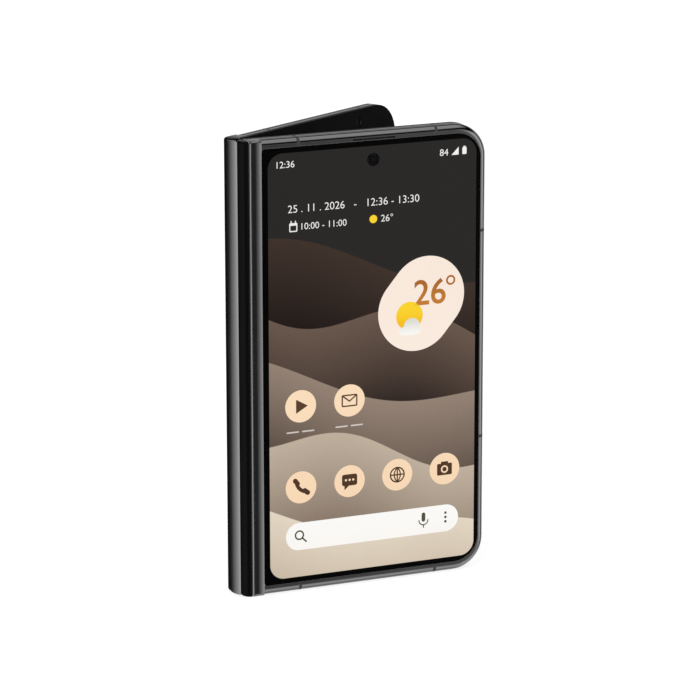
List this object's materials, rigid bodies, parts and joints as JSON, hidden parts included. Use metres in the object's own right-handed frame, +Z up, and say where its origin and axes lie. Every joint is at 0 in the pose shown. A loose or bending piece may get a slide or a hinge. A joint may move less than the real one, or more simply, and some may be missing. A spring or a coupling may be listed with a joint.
{
  "type": "foldable smartphone",
  "caption": "Book-style folding smartphone with a cover display, a folding inner display and a geared double-axis hinge, standing partly open.",
  "frame": {"origin": "middle of the front half's bottom edge, half way through its thickness", "axes": "+Z up along the hinge, +X from the hinge to the front half's free edge, -Y out of the cover display"},
  "size_m": [0.0811, 0.0491, 0.1397],
  "materials": {
    "frame_metal": "dark, polished",
    "antenna_plastic": "satin",
    "front_glass": "clear, gloss",
    "rear_glass": "black, satin",
    "screen": "gloss, lit picture on the front",
    "fold_screen": "gloss, dark",
    "bezel_plastic": "satin",
    "flex_copper": "satin",
    "lens_black": "gloss",
    "mesh_steel": "fine mesh",
    "plate_steel": "satin",
    "hinge_steel": "machined",
    "gear_brass": "machined",
    "cell_foil": "satin foil",
    "board_green": "satin",
    "magnet_nickel": "plated",
    "seal_rubber": "matte",
    "ring_metal": "polished",
    "flash_diffuser": "frosted",
    "coil_wire": "enamelled copper"
  },
  "bodies": {
    "front_half": {"front_frame": "frame_metal", "front_hinge_rail": "frame_metal", "front_antenna_bands": "antenna_plastic", "cover_glass": "front_glass", "cover_display": "screen", "display_flex": "flex_copper", "front_camera": "lens_black", "earpiece_mesh": "mesh_steel", "earpiece_speaker": "bezel_plastic", "front_inner_bezel": "bezel_plastic", "inner_display_front": "fold_screen", "front_support_plate": "plate_steel", "front_battery": "cell_foil", "front_board": "board_green", "front_magnets": "magnet_nickel", "front_screws": "hinge_steel", "front_hinge_arms": "hinge_steel", "front_sync_gears": "gear_brass", "sim_socket": "plate_steel"},
    "sim_tray": {"sim_tray": "frame_metal", "sim_tray_seal": "seal_rubber"},
    "spine": {"spine_cover": "frame_metal", "hinge_brackets": "hinge_steel", "hinge_pins": "hinge_steel", "disc_springs": "hinge_steel", "fold_end_caps": "bezel_plastic", "inner_display_fold": "fold_screen"},
    "rear_half": {"rear_frame": "frame_metal", "rear_hinge_rail": "frame_metal", "rear_antenna_bands": "antenna_plastic", "back_glass": "rear_glass", "camera_housing": "frame_metal", "camera_window": "front_glass", "lens_rings": "ring_metal", "camera_modules": "lens_black", "flash_lens": "flash_diffuser", "rear_inner_bezel": "bezel_plastic", "inner_camera": "lens_black", "inner_display_rear": "fold_screen", "rear_support_plate": "plate_steel", "rear_battery": "cell_foil", "main_board": "board_green", "shield_cans": "plate_steel", "usb_port": "plate_steel", "bottom_speaker": "bezel_plastic", "speaker_mesh": "mesh_steel", "vibration_motor": "plate_steel", "charging_coil": "coil_wire", "rear_magnets": "magnet_nickel", "rear_screws": "hinge_steel", "rear_hinge_arms": "hinge_steel", "rear_sync_gears": "gear_brass", "button_switches": "flex_copper"},
    "idler_a": {"idler_gear_a": "hinge_steel"},
    "idler_b": {"idler_gear_b": "hinge_steel"},
    "power_button": {"power_button": "frame_metal", "fingerprint_pad": "lens_black"},
    "volume_rocker": {"volume_rocker": "frame_metal"}
  },
  "joints": [
    {"name": "fold", "type": "hinge", "parent": "front_half", "child": "spine", "pos_m": [-0.03685, 0, 0], "axis": [0, 0, 1], "range_deg": [-15, 75], "deforming": ["inner_display_fold"]},
    {"name": "rear_fold", "type": "hinge", "parent": "spine", "child": "rear_half", "pos_m": [-0.03848, 0.00609, 0], "axis": [0, 0, 1], "range_deg": [-15, 75]},
    {"name": "idler_a_spin", "type": "hinge", "parent": "spine", "child": "idler_a", "pos_m": [-0.03679, 0.00216, 0], "axis": [0, 0, 1], "range_deg": [-15, 75]},
    {"name": "idler_b_spin", "type": "hinge", "parent": "spine", "child": "idler_b", "pos_m": [-0.03735, 0.00425, 0], "axis": [0, 0, 1], "range_deg": [-75, 15]},
    {"name": "power_press", "type": "slide", "parent": "rear_half", "child": "power_button", "axis": [-0.866, -0.5, 0], "range_m": [0, 0.0003], "stiffness_N_per_m": 3000},
    {"name": "volume_rock", "type": "hinge", "parent": "rear_half", "child": "volume_rocker", "pos_m": [0.02565, 0.04271, 0.082], "axis": [-0.5, 0.866, 0], "range_deg": [-1.5, 1.5], "stiffness_Nm_per_rad": 0.6},
    {"name": "tray_slide", "type": "slide", "parent": "front_half", "child": "sim_tray", "axis": [0, 0, -1], "range_m": [0, 0.016]}
  ],
  "couplings": [
    {"joint": "rear_fold", "follows": "fold", "ratio": 1},
    {"joint": "idler_a_spin", "follows": "fold", "ratio": 1},
    {"joint": "idler_b_spin", "follows": "fold", "ratio": -1}
  ]
}
